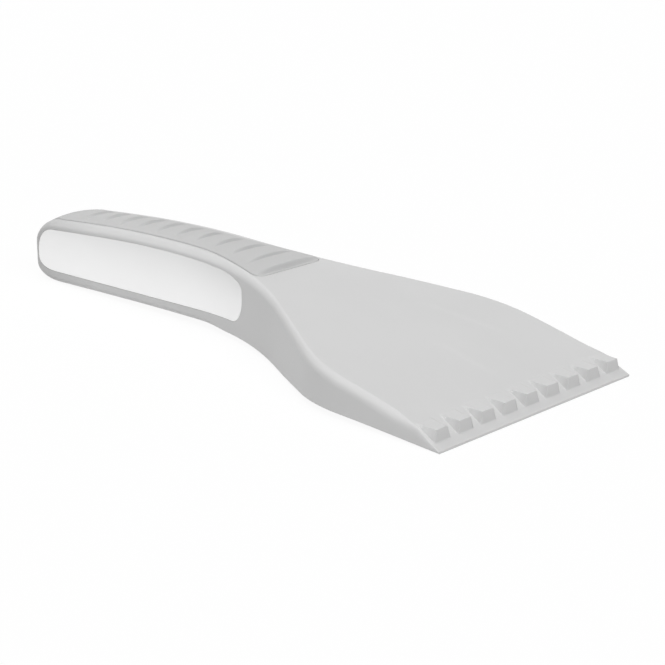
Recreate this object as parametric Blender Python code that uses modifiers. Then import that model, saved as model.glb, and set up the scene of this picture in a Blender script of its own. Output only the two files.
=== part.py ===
"""A hand ice scraper: one light grey moulding with a soft grip pad and two glossy side panels.

The moulding is a wide toothed blade, open and ribbed underneath, that narrows into a closed handle.
The handle is cored from both sides behind its panels, and its back is recessed for the ribbed pad.
Stations are measured back from the scraping lip, heights from the surface it rests on.
World axes: +X points to the lip, +Y to the left of someone who looks along +X, +Z is up.
"""

import math

import bmesh
import bpy
import numpy as np
from mathutils import Matrix, Vector

MM = 0.001

# Fits
TOUCH_GAP = 0.3 * MM
PIN_CLEARANCE = 0.3 * MM

# Plan of the moulding
OVERALL_LENGTH = 244.4 * MM
LIP_WIDTH = 100 * MM
CORNER_STATION = 55.4 * MM
CORNER_WIDTH = 96.4 * MM
CORNER_RADIUS = 55 * MM
NECK_STATION = 117.7 * MM
NECK_RADIUS = 120 * MM
HANDLE_WIDTH = 29.6 * MM
TAIL_LENGTH = 13.9 * MM
TAIL_PLAN_RADIUS = 3 * MM
TAIL_TOP_SQUARENESS = 2.25
TAIL_LOW_SQUARENESS = 2.9

# Side view of the moulding: height of its back and of its lower edge
TOP_AT_LIP = 3.5 * MM
TOP_AT_CORNER = 17.1 * MM
TOP_AT_NECK = 27.3 * MM
CROWN_STATION = 166 * MM
TOP_AT_CROWN = 29.3 * MM
TOP_AT_TAIL = 25.3 * MM
RISE_STATION = 49 * MM
RISE_HEIGHT = 1.5 * MM
DIP_STATION = 90 * MM
DIP_HEIGHT = 0.3 * MM
NECK_LOW_HEIGHT = 1.8 * MM
GRIP_LOW_STATION = 152 * MM
GRIP_LOW_HEIGHT = 1.6 * MM

# Edges of the moulding
BLADE_SHOULDER_RADIUS = 3 * MM
HANDLE_SHOULDER_RADIUS = 2.6 * MM
SKIRT_EDGE_RADIUS = 0.4 * MM
HANDLE_BOTTOM_RADIUS = 4 * MM
BOTTOM_ROUND_START = 129 * MM
BOTTOM_ROUND_END = 146 * MM
# The largest share of the height at a station that one edge's radius takes
EDGE_SHARE = 0.45

# Lip and bevel
LIP_THICKNESS = 0.5 * MM
LIP_BEVEL_LENGTH = 4.6 * MM
LIP_BEVEL_HEIGHT = 3.1 * MM
RAMP_LENGTH = 4.4 * MM

# Teeth that stand on the bevel
TOOTH_COUNT = 9
TOOTH_PITCH = 11.15 * MM
TOOTH_WIDTH = 7.1 * MM
TOOTH_FOOT_STATION = 3 * MM
TOOTH_TOP_STATION = 3.4 * MM
TOOTH_HEIGHT = 6.3 * MM
TOOTH_BACK_HEIGHT = 6.5 * MM
TOOTH_EDGE_RADIUS = 0.5 * MM
TOOTH_DRAFT = 0.15 * MM

# Hollow under the blade
ROOF_THICKNESS = 2.4 * MM
SKIRT_THICKNESS = 2.2 * MM
HOLLOW_START = 15 * MM
HOLLOW_END = 117.5 * MM
HOLLOW_CORNER_RADIUS = 1.2 * MM
RIB_THICKNESS = 1.6 * MM
RIB_DEPTH = 7 * MM
RIB_LIFT = 2 * MM
RIB_FAN_STATION = 108 * MM
RIB_FAN_OFFSET = 7 * MM
RIB_LIP_OFFSET = 34 * MM

# Grip pad in the back of the handle
PAD_START = 112.6 * MM
PAD_END_ANGLE = 62
PAD_INSET = 3.8 * MM
PAD_NECK_INSET = 2.2 * MM
PAD_FLARE_START = 122 * MM
PAD_FLARE_END = 152 * MM
PAD_CORNER_RADIUS = 3.2 * MM
PAD_FRONT_FULLNESS = 4
PAD_SEAT_DEPTH = 1.8 * MM
PAD_EDGE_PROUD = 0.3 * MM
PAD_CROWN = 0.9 * MM
PAD_STEP_COUNT = 10
PAD_FIRST_STEP = 122.2 * MM
PAD_STEP_PITCH = 10.8 * MM
PAD_STEP_HEIGHT = 0.8 * MM
PAD_STEP_RUN = 0.4 * MM
PAD_STEP_REACH = 0.78
PAD_STEP_BOW = 2.2 * MM
PAD_STUD_COUNT = 4
PAD_STUD_PITCH = 29 * MM
PAD_STUD_START = 133 * MM
PAD_STUD_DIAMETER = 4 * MM
PAD_STUD_LENGTH = 2.6 * MM

# Side panels
PANEL_THICKNESS = 2 * MM
PANEL_TOP_MARGIN = 3.6 * MM
PANEL_LOW_AT_NECK = 5.6 * MM
PANEL_LOW_AT_TAIL = 4.6 * MM
PANEL_START = 120.1 * MM
PANEL_TAIL_MARGIN = 2.8 * MM
PANEL_FRONT_TOP_RUN = 18 * MM
PANEL_FRONT_TOP_DROP = 5.5 * MM
PANEL_FRONT_LOW_RUN = 7.4 * MM
PANEL_FRONT_LOW_RISE = 10 * MM
PANEL_EDGE_RADIUS = 0.4 * MM

# Cores behind the panels
CORE_LEDGE = 2.6 * MM
CORE_WEB = 2.4 * MM
CORE_RIB_COUNT = 4
CORE_RIB_PITCH = 23.5 * MM
CORE_RIB_START = 145.5 * MM
CORE_RIB_THICKNESS = 1.8 * MM
BOSS_DIAMETER = 7.5 * MM
PANEL_PIN_DIAMETER = 3 * MM
PANEL_PIN_LENGTH = 6 * MM

# Fineness of the facets
ARC_STEPS = 4
PLAN_CORNER_STEPS = 12
PLAN_NECK_STEPS = 16
EDGE_SEGMENTS = 2
BLADE_STATION_STEP = 5 * MM
SLOPE_STEP = 0.05 * MM
NECK_STATION_STEP = 3.5 * MM
TAIL_STEPS = 10
TAIL_END_ANGLE = 88
ROUND_SIDES = 24
PAD_SHARES = 15


def corner_arc(corner, before, after, radius, steps):
    """Points of the arc that rounds a corner between its neighbours in an outline."""
    corner, before, after = (np.array(point, float) for point in (corner, before, after))
    back = (before - corner) / np.linalg.norm(before - corner)
    ahead = (after - corner) / np.linalg.norm(after - corner)
    half_angle = math.acos(np.clip(back @ ahead, -1, 1)) / 2
    bisector = (back + ahead) / np.linalg.norm(back + ahead)
    centre = corner + bisector * radius / math.sin(half_angle)
    start = corner + back * radius / math.tan(half_angle) - centre
    end = corner + ahead * radius / math.tan(half_angle) - centre
    first = math.atan2(start[1], start[0])
    turn = (math.atan2(end[1], end[0]) - first + math.pi) % (2 * math.pi) - math.pi
    angles = first + turn * np.arange(steps + 1) / steps
    return [centre + radius * np.array([math.cos(angle), math.sin(angle)]) for angle in angles]


def line_through(points):
    """A natural cubic spline through (station, height) points, as a function of the station."""
    stations, heights = np.array(points, float).T
    count = len(stations)
    gaps = np.diff(stations)
    matrix = np.eye(count)
    right = np.zeros(count)
    for i in range(1, count - 1):
        matrix[i, i - 1 : i + 2] = gaps[i - 1], 2 * (gaps[i - 1] + gaps[i]), gaps[i]
        slope_ahead = (heights[i + 1] - heights[i]) / gaps[i]
        slope_behind = (heights[i] - heights[i - 1]) / gaps[i - 1]
        right[i] = 6 * (slope_ahead - slope_behind)
    bends = np.linalg.solve(matrix, right)

    def height_at(station):
        i = int(np.clip(np.searchsorted(stations, station) - 1, 0, count - 2))
        ahead = stations[i + 1] - station
        behind = station - stations[i]
        gap = gaps[i]
        curve = (bends[i] * ahead**3 + bends[i + 1] * behind**3) / (6 * gap)
        left = (heights[i] / gap - bends[i] * gap / 6) * ahead
        return curve + left + (heights[i + 1] / gap - bends[i + 1] * gap / 6) * behind

    return height_at


def smooth_share(value, start, end):
    """A share from 0 at start to 1 at end that leaves and arrives level."""
    share = min(max((value - start) / (end - start), 0), 1)
    return share * share * (3 - 2 * share)


TAIL_CENTRE = OVERALL_LENGTH - TAIL_LENGTH
BEVEL_END = LIP_BEVEL_LENGTH + RAMP_LENGTH
HANDLE_HALF = HANDLE_WIDTH / 2

top_line = line_through(
    [
        (0, TOP_AT_LIP),
        (CORNER_STATION, TOP_AT_CORNER),
        (NECK_STATION, TOP_AT_NECK),
        (CROWN_STATION, TOP_AT_CROWN),
        (TAIL_CENTRE, TOP_AT_TAIL),
    ]
)
low_line = line_through(
    [
        (0, 0),
        (RISE_STATION, RISE_HEIGHT),
        (DIP_STATION, DIP_HEIGHT),
        (NECK_STATION, NECK_LOW_HEIGHT),
        (GRIP_LOW_STATION, GRIP_LOW_HEIGHT),
        (TAIL_CENTRE, 0),
    ]
)


def plan_points():
    """The left edge of the moulding in plan: (station, half-width) from the lip to the tail."""
    lip = (0, LIP_WIDTH / 2)
    corner = (CORNER_STATION, CORNER_WIDTH / 2)
    neck = (NECK_STATION, HANDLE_HALF)
    tail = (OVERALL_LENGTH, HANDLE_HALF)
    points = [lip]
    points += corner_arc(corner, lip, neck, CORNER_RADIUS, PLAN_CORNER_STEPS)
    points += corner_arc(neck, corner, tail, NECK_RADIUS, PLAN_NECK_STEPS)
    points.append(tail)
    return np.array(points)


PLAN = plan_points()


def half_width(station):
    """Half the moulding's width at a station, with the small plan radius at the tail."""
    width = float(np.interp(station, PLAN[:, 0], PLAN[:, 1]))
    into_corner = (station - OVERALL_LENGTH + TAIL_PLAN_RADIUS) / TAIL_PLAN_RADIUS
    if into_corner > 0:
        width -= TAIL_PLAN_RADIUS * (1 - math.sqrt(max(1 - into_corner**2, 0)))
    return width


def rounded_share(past, squareness):
    """Height left of a rounded end, for a distance into it as a share: 2 is round, more is squarer."""
    return max(1 - past**squareness, 0) ** (1 / squareness)


def tail_share(station, squareness):
    """How much of its height the moulding keeps as the tail rounds off."""
    return rounded_share(max(station - TAIL_CENTRE, 0) / TAIL_LENGTH, squareness)


TAIL_MIDDLE = (top_line(TAIL_CENTRE) + low_line(TAIL_CENTRE)) / 2


def bevel_height(station):
    """Height of the lip's bevel and of the ramp behind it."""
    heights = [LIP_THICKNESS, LIP_BEVEL_HEIGHT, top_line(BEVEL_END)]
    return float(np.interp(station, [0, LIP_BEVEL_LENGTH, BEVEL_END], heights))


def top_height(station):
    if station < BEVEL_END:
        return bevel_height(station)
    line = top_line(min(station, TAIL_CENTRE)) - TAIL_MIDDLE
    return TAIL_MIDDLE + line * tail_share(station, TAIL_TOP_SQUARENESS)


def low_height(station):
    line = low_line(min(station, TAIL_CENTRE)) - TAIL_MIDDLE
    return TAIL_MIDDLE + line * tail_share(station, TAIL_LOW_SQUARENESS)


def shoulder_radius(station):
    share = smooth_share(station, CORNER_STATION, NECK_STATION)
    radius = BLADE_SHOULDER_RADIUS + share * (HANDLE_SHOULDER_RADIUS - BLADE_SHOULDER_RADIUS)
    return min(radius, EDGE_SHARE * (top_height(station) - low_height(station)))


def bottom_radius(station):
    share = smooth_share(station, BOTTOM_ROUND_START, BOTTOM_ROUND_END)
    radius = SKIRT_EDGE_RADIUS + share * (HANDLE_BOTTOM_RADIUS - SKIRT_EDGE_RADIUS)
    return min(radius, EDGE_SHARE * (top_height(station) - low_height(station)))


def world_x(station):
    return OVERALL_LENGTH / 2 - station


def arc_points(centre_y, centre_z, radius, start, end):
    angles = np.radians(np.linspace(start, end, ARC_STEPS + 1))
    return [(centre_y + radius * math.cos(angle), centre_z + radius * math.sin(angle)) for angle in angles]


def box_section(half, low, high, low_radius, high_radius):
    """A closed section with rounded corners, symmetric about y = 0: up its left side and down its right."""
    left = [(0, low)]
    left += arc_points(half - low_radius, low + low_radius, low_radius, -90, 0)
    left += arc_points(half - high_radius, high - high_radius, high_radius, 0, 90)
    right = [(-y, z) for y, z in reversed(left[1:])]
    return left + [(0, high)] + right


def loft(name, rings, collection):
    """A closed body through rings of (x, y, z) points, one ring after another, with flat ends."""
    bm = bmesh.new()
    rows = [[bm.verts.new(point) for point in ring] for ring in rings]
    bm.faces.new(rows[0])
    bm.faces.new(rows[-1])
    for row, next_row in zip(rows, rows[1:]):
        for i, here in enumerate(row):
            bm.faces.new((row[i - 1], here, next_row[i], next_row[i - 1]))
    return object_from(bm, name, collection)


def object_from(bm, name, collection):
    """Turns a bmesh into an object with its faces turned out."""
    bmesh.ops.recalc_face_normals(bm, faces=bm.faces)
    mesh = bpy.data.meshes.new(name)
    bm.to_mesh(mesh)
    bm.free()
    obj = bpy.data.objects.new(name, mesh)
    collection.objects.link(obj)
    return obj


def box(name, centre, size, collection):
    bm = bmesh.new()
    bmesh.ops.create_cube(bm, size=1, matrix=Matrix.Translation(centre) @ Matrix.Diagonal((*size, 1)))
    return object_from(bm, name, collection)


def cylinder(name, start, end, diameter, collection):
    """A round bar between the centres of its two ends."""
    start, end = Vector(start), Vector(end)
    along = end - start
    turn = Vector((0, 0, 1)).rotation_difference(along).to_matrix().to_4x4()
    bm = bmesh.new()
    bmesh.ops.create_cone(
        bm,
        cap_ends=True,
        segments=ROUND_SIDES,
        radius1=diameter / 2,
        radius2=diameter / 2,
        depth=along.length,
        matrix=Matrix.Translation((start + end) / 2) @ turn,
    )
    return object_from(bm, name, collection)


def make_cutter(obj):
    obj.hide_render = True
    obj.display_type = "WIRE"
    return obj


def boolean(obj, operation, other):
    modifier = obj.modifiers.new(f"{operation.lower()} {other.name}", "BOOLEAN")
    modifier.operation = operation
    modifier.object = other
    modifier.solver = "EXACT"


def apply_modifiers(obj):
    """Bakes an object's modifiers into its mesh, so that a later cut sees the finished shape."""
    graph = bpy.context.evaluated_depsgraph_get()
    mesh = bpy.data.meshes.new_from_object(obj.evaluated_get(graph))
    obj.modifiers.clear()
    obj.data = mesh


def shade(obj, angle=35):
    obj.data.shade_smooth()
    obj.data.set_sharp_from_angle(angle=math.radians(angle))


def material(name, colour, roughness, metallic=0.0, coat=0.0):
    made = bpy.data.materials.new(name)
    made.use_nodes = True
    shader = made.node_tree.nodes["Principled BSDF"]
    shader.inputs["Base Color"].default_value = (*colour, 1)
    shader.inputs["Roughness"].default_value = roughness
    shader.inputs["Metallic"].default_value = metallic
    shader.inputs["Coat Weight"].default_value = coat
    return made


def spread(start, end, step):
    """Evenly spaced stations from start to end, no further apart than step."""
    count = max(1, math.ceil((end - start) / step - 1e-6))
    return list(np.linspace(start, end, count + 1))


def tail_stations():
    angles = np.radians(np.linspace(0, TAIL_END_ANGLE, TAIL_STEPS + 1))
    return [TAIL_CENTRE + TAIL_LENGTH * math.sin(angle) for angle in angles]


def body_stations():
    stations = spread(0, LIP_BEVEL_LENGTH, LIP_BEVEL_LENGTH / 2)
    stations += spread(LIP_BEVEL_LENGTH, BEVEL_END, RAMP_LENGTH / 2)[1:]
    stations += spread(BEVEL_END, CORNER_STATION - CORNER_RADIUS / 4, BLADE_STATION_STEP)[1:]
    stations += spread(stations[-1], GRIP_LOW_STATION, NECK_STATION_STEP)[1:]
    stations += spread(GRIP_LOW_STATION, TAIL_CENTRE, BLADE_STATION_STEP)[1:]
    return stations + tail_stations()[1:]


def moulding_blank(parts):
    """The moulding's outer form, a loft from the lip to the tail."""
    rings = []
    for station in body_stations():
        section = box_section(
            half_width(station),
            low_height(station),
            top_height(station),
            bottom_radius(station),
            shoulder_radius(station),
        )
        rings.append([(world_x(station), y, z) for y, z in section])
    return loft("scraper_body", rings, parts)


def tooth(name, centre_y, cutters):
    """One tooth: a drafted block with a leaning front, its top level with the ramp's upper end."""
    back = BEVEL_END + TOOTH_TOP_STATION
    sunk = LIP_THICKNESS
    side = [
        (TOOTH_FOOT_STATION, sunk, 0),
        (TOOTH_TOP_STATION, TOOTH_HEIGHT, TOOTH_DRAFT),
        (back, TOOTH_BACK_HEIGHT, TOOTH_DRAFT),
        (back, sunk, 0),
    ]
    rings = []
    for sign in (-1, 1):
        ring = []
        for station, z, draft in side:
            ring.append((world_x(station), centre_y + sign * (TOOTH_WIDTH / 2 - draft), z))
        rings.append(ring)
    obj = loft(name, rings, cutters)
    bevel = obj.modifiers.new("rounded edges", "BEVEL")
    bevel.width = TOOTH_EDGE_RADIUS
    bevel.segments = EDGE_SEGMENTS
    apply_modifiers(obj)
    return make_cutter(obj)


def add_teeth(body, cutters):
    for i in range(TOOTH_COUNT):
        centre_y = (i - (TOOTH_COUNT - 1) / 2) * TOOTH_PITCH
        boolean(body, "UNION", tooth(f"tooth {i + 1}", centre_y, cutters))


def roof_height(station):
    """The hollow's roof, which dips in time to leave a full wall under the pad's seat."""
    seat = PAD_SEAT_DEPTH * smooth_share(station, PAD_START - 4 * ROOF_THICKNESS, PAD_START - ROOF_THICKNESS)
    return top_height(station) - ROOF_THICKNESS - seat


def rib_offset(station):
    """Distance of a fanned rib from the middle, widest at the lip."""
    return float(np.interp(station, [HOLLOW_START, RIB_FAN_STATION], [RIB_LIP_OFFSET, RIB_FAN_OFFSET]))


def rib(name, side, cutters):
    """A strip that hangs from the roof of the hollow: side is -1, 0 or 1."""
    overlap = ROOF_THICKNESS / 2
    slope = side * (RIB_LIP_OFFSET - RIB_FAN_OFFSET) / (RIB_FAN_STATION - HOLLOW_START)
    half = RIB_THICKNESS / 2 * math.hypot(1, slope)
    rings = []
    for station in spread(HOLLOW_START - overlap, HOLLOW_END + overlap, 2 * BLADE_STATION_STEP):
        middle = side * rib_offset(station)
        high = roof_height(station) + overlap
        low = max(roof_height(station) - RIB_DEPTH, low_height(station) + RIB_LIFT)
        corners = ((-half, low), (half, low), (half, high), (-half, high))
        rings.append([(world_x(station), middle + y, z) for y, z in corners])
    return make_cutter(loft(name, rings, cutters))


def blade_hollow(cutters):
    """What is taken out from under the blade, with its ribs left standing."""
    below = -2 * ROOF_THICKNESS
    rings = []
    for station in spread(HOLLOW_START, HOLLOW_END, BLADE_STATION_STEP):
        half = half_width(station) - SKIRT_THICKNESS
        section = box_section(half, below, roof_height(station), HOLLOW_CORNER_RADIUS, HOLLOW_CORNER_RADIUS)
        rings.append([(world_x(station), y, z) for y, z in section])
    hollow = loft("blade hollow", rings, cutters)
    for side, name in ((-1, "right rib"), (0, "middle rib"), (1, "left rib")):
        boolean(hollow, "DIFFERENCE", rib(name, side, cutters))
    apply_modifiers(hollow)
    return make_cutter(hollow)


def corner_stations(grow):
    """Stations that draw the arc of the pad's rounded front corners, its radius widened by grow."""
    turns = np.radians(np.linspace(0, 90, ARC_STEPS + 2))
    return [PAD_START + PAD_CORNER_RADIUS - (PAD_CORNER_RADIUS + grow) * math.cos(turn) for turn in turns]


def back_path(grow):
    """Stations along the handle's back, from the pad's start, widened by grow, over the tail."""
    stations = corner_stations(grow)
    stations += spread(stations[-1], TAIL_CENTRE, PAD_STEP_PITCH / 4)[1:]
    angles = np.radians(np.linspace(0, PAD_END_ANGLE, TAIL_STEPS + 1))[1:]
    stations += [TAIL_CENTRE + TAIL_LENGTH * math.sin(angle) for angle in angles]
    return stations[:-1] + [stations[-1] + grow]


def back_frame(station):
    """The point on the handle's back at a station and the unit normal there, as (station, height) pairs."""
    rise = top_height(station + SLOPE_STEP) - top_height(station - SLOPE_STEP)
    length = math.hypot(rise, 2 * SLOPE_STEP)
    return np.array([station, top_height(station)]), np.array([-rise, 2 * SLOPE_STEP]) / length


def pad_half(station, grow=0):
    """Half the pad's width: it flares at the neck and ends in rounded corners. The seat is wider by grow."""
    flare = 1 - smooth_share(station, PAD_FLARE_START, PAD_FLARE_END)
    inset = PAD_INSET + flare * (PAD_NECK_INSET - PAD_INSET) + TOUCH_GAP - grow
    radius = PAD_CORNER_RADIUS + grow
    into_corner = min(max((PAD_START + PAD_CORNER_RADIUS - station) / radius, 0), 1)
    return half_width(station) - inset - radius * (1 - math.sqrt(1 - into_corner**2))


def path_ring(station, section):
    """A ring across the handle's back: section points are (y, height along the normal)."""
    point, normal = back_frame(station)
    ring = []
    for y, lift in section:
        along, height = point + normal * lift
        ring.append((world_x(along), y, height))
    return ring


def pad_recess(cutters):
    """The seat of the grip pad in the handle's back."""
    rings = []
    for station in back_path(TOUCH_GAP):
        half = pad_half(station, TOUCH_GAP)
        high = 3 * PAD_SEAT_DEPTH
        section = ((-half, -PAD_SEAT_DEPTH), (half, -PAD_SEAT_DEPTH), (half, high), (-half, high))
        rings.append(path_ring(station, section))
    return make_cutter(loft("pad recess", rings, cutters))


def step_feet():
    """Stations of the pad's front end and of the foot of each step, and where the last step runs out."""
    return [PAD_START] + [PAD_FIRST_STEP + i * PAD_STEP_PITCH for i in range(PAD_STEP_COUNT + 1)]


def step_lift(station):
    """Height of the pad's overlapping steps as a share: each drops steeply towards the blade."""
    feet = step_feet()
    for foot, next_foot in zip(feet, feet[1:]):
        if foot <= station < next_foot:
            into = station - foot
            if into < PAD_STEP_RUN:
                return into / PAD_STEP_RUN
            return 1 - (into - PAD_STEP_RUN) / (next_foot - foot - PAD_STEP_RUN)
    return 0


def pad_stations():
    """Stations of the pad's sections, with a close pair at the foot and the crest of each step."""
    stations = []
    feet = step_feet()
    for foot, next_foot in zip(feet, feet[1:]):
        crest = foot + PAD_STEP_RUN
        stations += [foot] + spread(crest, next_foot, PAD_STEP_PITCH / 3)[:-1]
    stations += corner_stations(0)[1:]
    stations += [station for station in back_path(0) if station > feet[-1]]
    return sorted(stations)


def step_share(station, share):
    """What is left of a step's height at a share of the pad's half-width; the pad's front end is fuller."""
    if station < PAD_FIRST_STEP:
        return 1 - abs(share) ** PAD_FRONT_FULLNESS
    return max(1 - (share / PAD_STEP_REACH) ** 2, 0)


def pad_ring(station):
    """A ring of the pad: a flat base, upright sides, and a crowned top whose steps bow back at the ends."""
    half = pad_half(station)
    base = -PAD_SEAT_DEPTH + TOUCH_GAP
    ring = path_ring(station, [(-half, base), (half, base)])
    bow = PAD_STEP_BOW * smooth_share(station, PAD_START, PAD_FIRST_STEP)
    bow *= 1 - smooth_share(station, TAIL_CENTRE - PAD_STEP_PITCH, TAIL_CENTRE)
    for share in np.linspace(1, -1, PAD_SHARES):
        crown = PAD_CROWN * (1 - share * share)
        step = PAD_STEP_HEIGHT * step_lift(station) * step_share(station, share)
        place = station + bow * share * share
        ring += path_ring(place, [(share * pad_half(place), PAD_EDGE_PROUD + crown + step)])
    return ring


def stud_stations():
    return [PAD_STUD_START + i * PAD_STUD_PITCH for i in range(PAD_STUD_COUNT)]


def stud(name, station, diameter, low, high, collection):
    """A round stud square to the handle's back, between two heights along its normal."""
    point, normal = back_frame(station)
    ends = []
    for lift in (low, high):
        along, height = point + normal * lift
        ends.append((world_x(along), 0, height))
    return make_cutter(cylinder(name, ends[0], ends[1], diameter, collection))


def grip_pad(parts, cutters):
    rings = [pad_ring(station) for station in pad_stations()]
    pad = loft("grip_pad", rings, parts)
    base = -PAD_SEAT_DEPTH + TOUCH_GAP
    for i, station in enumerate(stud_stations()):
        low = base - PAD_STUD_LENGTH
        boolean(pad, "UNION", stud(f"pad stud {i + 1}", station, PAD_STUD_DIAMETER, low, base / 2, cutters))
    return pad


def cut_stud_holes(body, cutters):
    for i, station in enumerate(stud_stations()):
        low = -PAD_SEAT_DEPTH - PAD_STUD_LENGTH
        diameter = PAD_STUD_DIAMETER + 2 * PIN_CLEARANCE
        boolean(body, "DIFFERENCE", stud(f"stud hole {i + 1}", station, diameter, low, 0, cutters))


def panel_low(station):
    stations = [PANEL_START, TAIL_CENTRE]
    heights = [low_height(PANEL_START) + PANEL_LOW_AT_NECK, low_height(TAIL_CENTRE) + PANEL_LOW_AT_TAIL]
    return float(np.interp(station, stations, heights))


def panel_high(station):
    return top_line(station) - PANEL_TOP_MARGIN


def quarter(corner, run, rise, start, end, steps):
    """Points of an elliptical quarter that rounds an upright corner: its centre lies run and rise away."""
    centre = (corner[0] + run, corner[1] + rise)
    points = []
    for angle in np.radians(np.linspace(start, end, steps + 1)):
        points.append((centre[0] + abs(run) * math.cos(angle), centre[1] + abs(rise) * math.sin(angle)))
    return points


def panel_outline(inset):
    """A panel's outline in side view, moved inwards by inset: (station, height) points."""
    front = PANEL_START + inset
    top_run = PANEL_FRONT_TOP_RUN - inset
    top_drop = PANEL_FRONT_TOP_DROP - inset
    low_run = PANEL_FRONT_LOW_RUN - inset
    low_rise = PANEL_FRONT_LOW_RISE - inset
    low_corner = (front, panel_low(front + low_run) + inset)
    top_corner = (front, panel_high(front + top_run) - inset)
    points = quarter(low_corner, low_run, low_rise, 270, 180, 2 * ARC_STEPS)
    points += quarter(top_corner, top_run, -top_drop, 180, 90, 2 * ARC_STEPS)
    for station in spread(front + top_run, TAIL_CENTRE, 2 * BLADE_STATION_STEP)[1:]:
        points.append((station, panel_high(station) - inset))
    high = panel_high(TAIL_CENTRE) - inset
    low = panel_low(TAIL_CENTRE) + inset
    middle = (high + low) / 2
    length = TAIL_LENGTH - PANEL_TAIL_MARGIN - inset
    for angle in np.radians(np.linspace(90, -90, 4 * ARC_STEPS + 1))[1:]:
        squareness = TAIL_TOP_SQUARENESS if angle > 0 else TAIL_LOW_SQUARENESS
        share = rounded_share(math.cos(angle), squareness)
        height = middle + math.copysign(share, angle) * (high - low) / 2
        points.append((TAIL_CENTRE + math.cos(angle) * length, height))
    return points


def outline_slab(name, outline, thickness, collection):
    """A flat slab from an outline of (station, height) points, from y = 0 out to its thickness."""
    bm = bmesh.new()
    bm.faces.new([bm.verts.new((world_x(station), 0, height)) for station, height in outline])
    made = bmesh.ops.extrude_face_region(bm, geom=bm.faces[:])
    outer = [element for element in made["geom"] if isinstance(element, bmesh.types.BMVert)]
    bmesh.ops.translate(bm, verts=outer, vec=(0, thickness, 0))
    return object_from(bm, name, collection)


def side_slab(name, inset, y_offset_low, y_offset_high, collection):
    """A slab of the panel's outline, cut in columns and bent to follow the moulding's left side."""
    slab = outline_slab(name, panel_outline(inset), y_offset_high - y_offset_low, collection)
    bm = bmesh.new()
    bm.from_mesh(slab.data)
    for station in spread(PANEL_START, PANEL_START + NECK_RADIUS / 3, NECK_STATION_STEP)[1:]:
        geometry = bm.verts[:] + bm.edges[:] + bm.faces[:]
        bmesh.ops.bisect_plane(bm, geom=geometry, plane_co=(world_x(station), 0, 0), plane_no=(1, 0, 0))
    for vert in bm.verts:
        station = OVERALL_LENGTH / 2 - vert.co.x
        vert.co.y += half_width(min(station, TAIL_CENTRE)) + y_offset_low
    bm.to_mesh(slab.data)
    bm.free()
    return slab


def core_rib_stations():
    return [CORE_RIB_START + i * CORE_RIB_PITCH for i in range(CORE_RIB_COUNT)]


def core_middle(station):
    return (panel_high(station) + panel_low(station)) / 2


def boss(name, station, diameter, y_low, y_high, collection):
    """A round pin, hole or boss square to the handle's side."""
    x = world_x(station)
    z = core_middle(station)
    return make_cutter(cylinder(name, (x, y_low, z), (x, y_high, z), diameter, collection))


def core_pocket(cutters):
    """What is cored out behind the left panel, with its cross ribs and bosses left standing."""
    pocket = outline_slab("core pocket", panel_outline(CORE_LEDGE), HANDLE_WIDTH, cutters)
    reach = 2 * HANDLE_WIDTH
    web = box("core web", (0, 0, 0), (2 * OVERALL_LENGTH, CORE_WEB, 2 * reach), cutters)
    boolean(pocket, "DIFFERENCE", make_cutter(web))
    for i, station in enumerate(core_rib_stations()):
        centre = (world_x(station), 0, core_middle(station))
        size = (CORE_RIB_THICKNESS, 2 * reach, reach)
        strip = make_cutter(box(f"core rib {i + 1}", centre, size, cutters))
        boolean(strip, "UNION", boss(f"core boss {i + 1}", station, BOSS_DIAMETER, -reach, reach, cutters))
        apply_modifiers(strip)
        boolean(pocket, "DIFFERENCE", strip)
    apply_modifiers(pocket)
    return pocket


def mirrored(obj, name, collection):
    """A copy of a left-hand object on the right, with its faces turned out again."""
    mesh = obj.data.copy()
    for vert in mesh.vertices:
        vert.co.y = -vert.co.y
    mesh.flip_normals()
    copy = bpy.data.objects.new(name, mesh)
    collection.objects.link(copy)
    return copy


def side_panel(parts, cutters):
    """The left panel: a thin plate in its recess with a pin for each of the bosses."""
    panel = side_slab("side_panel_left", 0, -PANEL_THICKNESS, 0, parts)
    bevel = panel.modifiers.new("eased edge", "BEVEL")
    bevel.width = PANEL_EDGE_RADIUS
    bevel.segments = EDGE_SEGMENTS
    bevel.limit_method = "ANGLE"
    bevel.angle_limit = math.radians(60)
    apply_modifiers(panel)
    for i, station in enumerate(core_rib_stations()):
        back = half_width(station) - PANEL_THICKNESS
        pin = boss(
            f"panel pin {i + 1}",
            station,
            PANEL_PIN_DIAMETER,
            back - PANEL_PIN_LENGTH,
            back + PANEL_THICKNESS / 2,
            cutters,
        )
        boolean(panel, "UNION", pin)
    apply_modifiers(panel)
    return panel


def cut_sides(body, cutters):
    """Recess, cores and pin holes in both sides of the handle: each cutter is mirrored across y = 0."""
    recess = side_slab("panel recess", -TOUCH_GAP, -PANEL_THICKNESS - TOUCH_GAP, HANDLE_WIDTH, cutters)
    tools = [recess, core_pocket(cutters)]
    for i, station in enumerate(core_rib_stations()):
        floor = half_width(station) - PANEL_THICKNESS - TOUCH_GAP
        diameter = PANEL_PIN_DIAMETER + 2 * PIN_CLEARANCE
        low = floor - PANEL_PIN_LENGTH
        tools.append(boss(f"pin hole {i + 1}", station, diameter, low, HANDLE_WIDTH, cutters))
    for tool in tools:
        mirror = tool.modifiers.new("both sides", "MIRROR")
        mirror.use_axis = (False, True, False)
        boolean(body, "DIFFERENCE", make_cutter(tool))


def scraper_body(parts, cutters):
    body = moulding_blank(parts)
    add_teeth(body, cutters)
    boolean(body, "DIFFERENCE", blade_hollow(cutters))
    boolean(body, "DIFFERENCE", pad_recess(cutters))
    cut_stud_holes(body, cutters)
    cut_sides(body, cutters)
    return body


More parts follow.
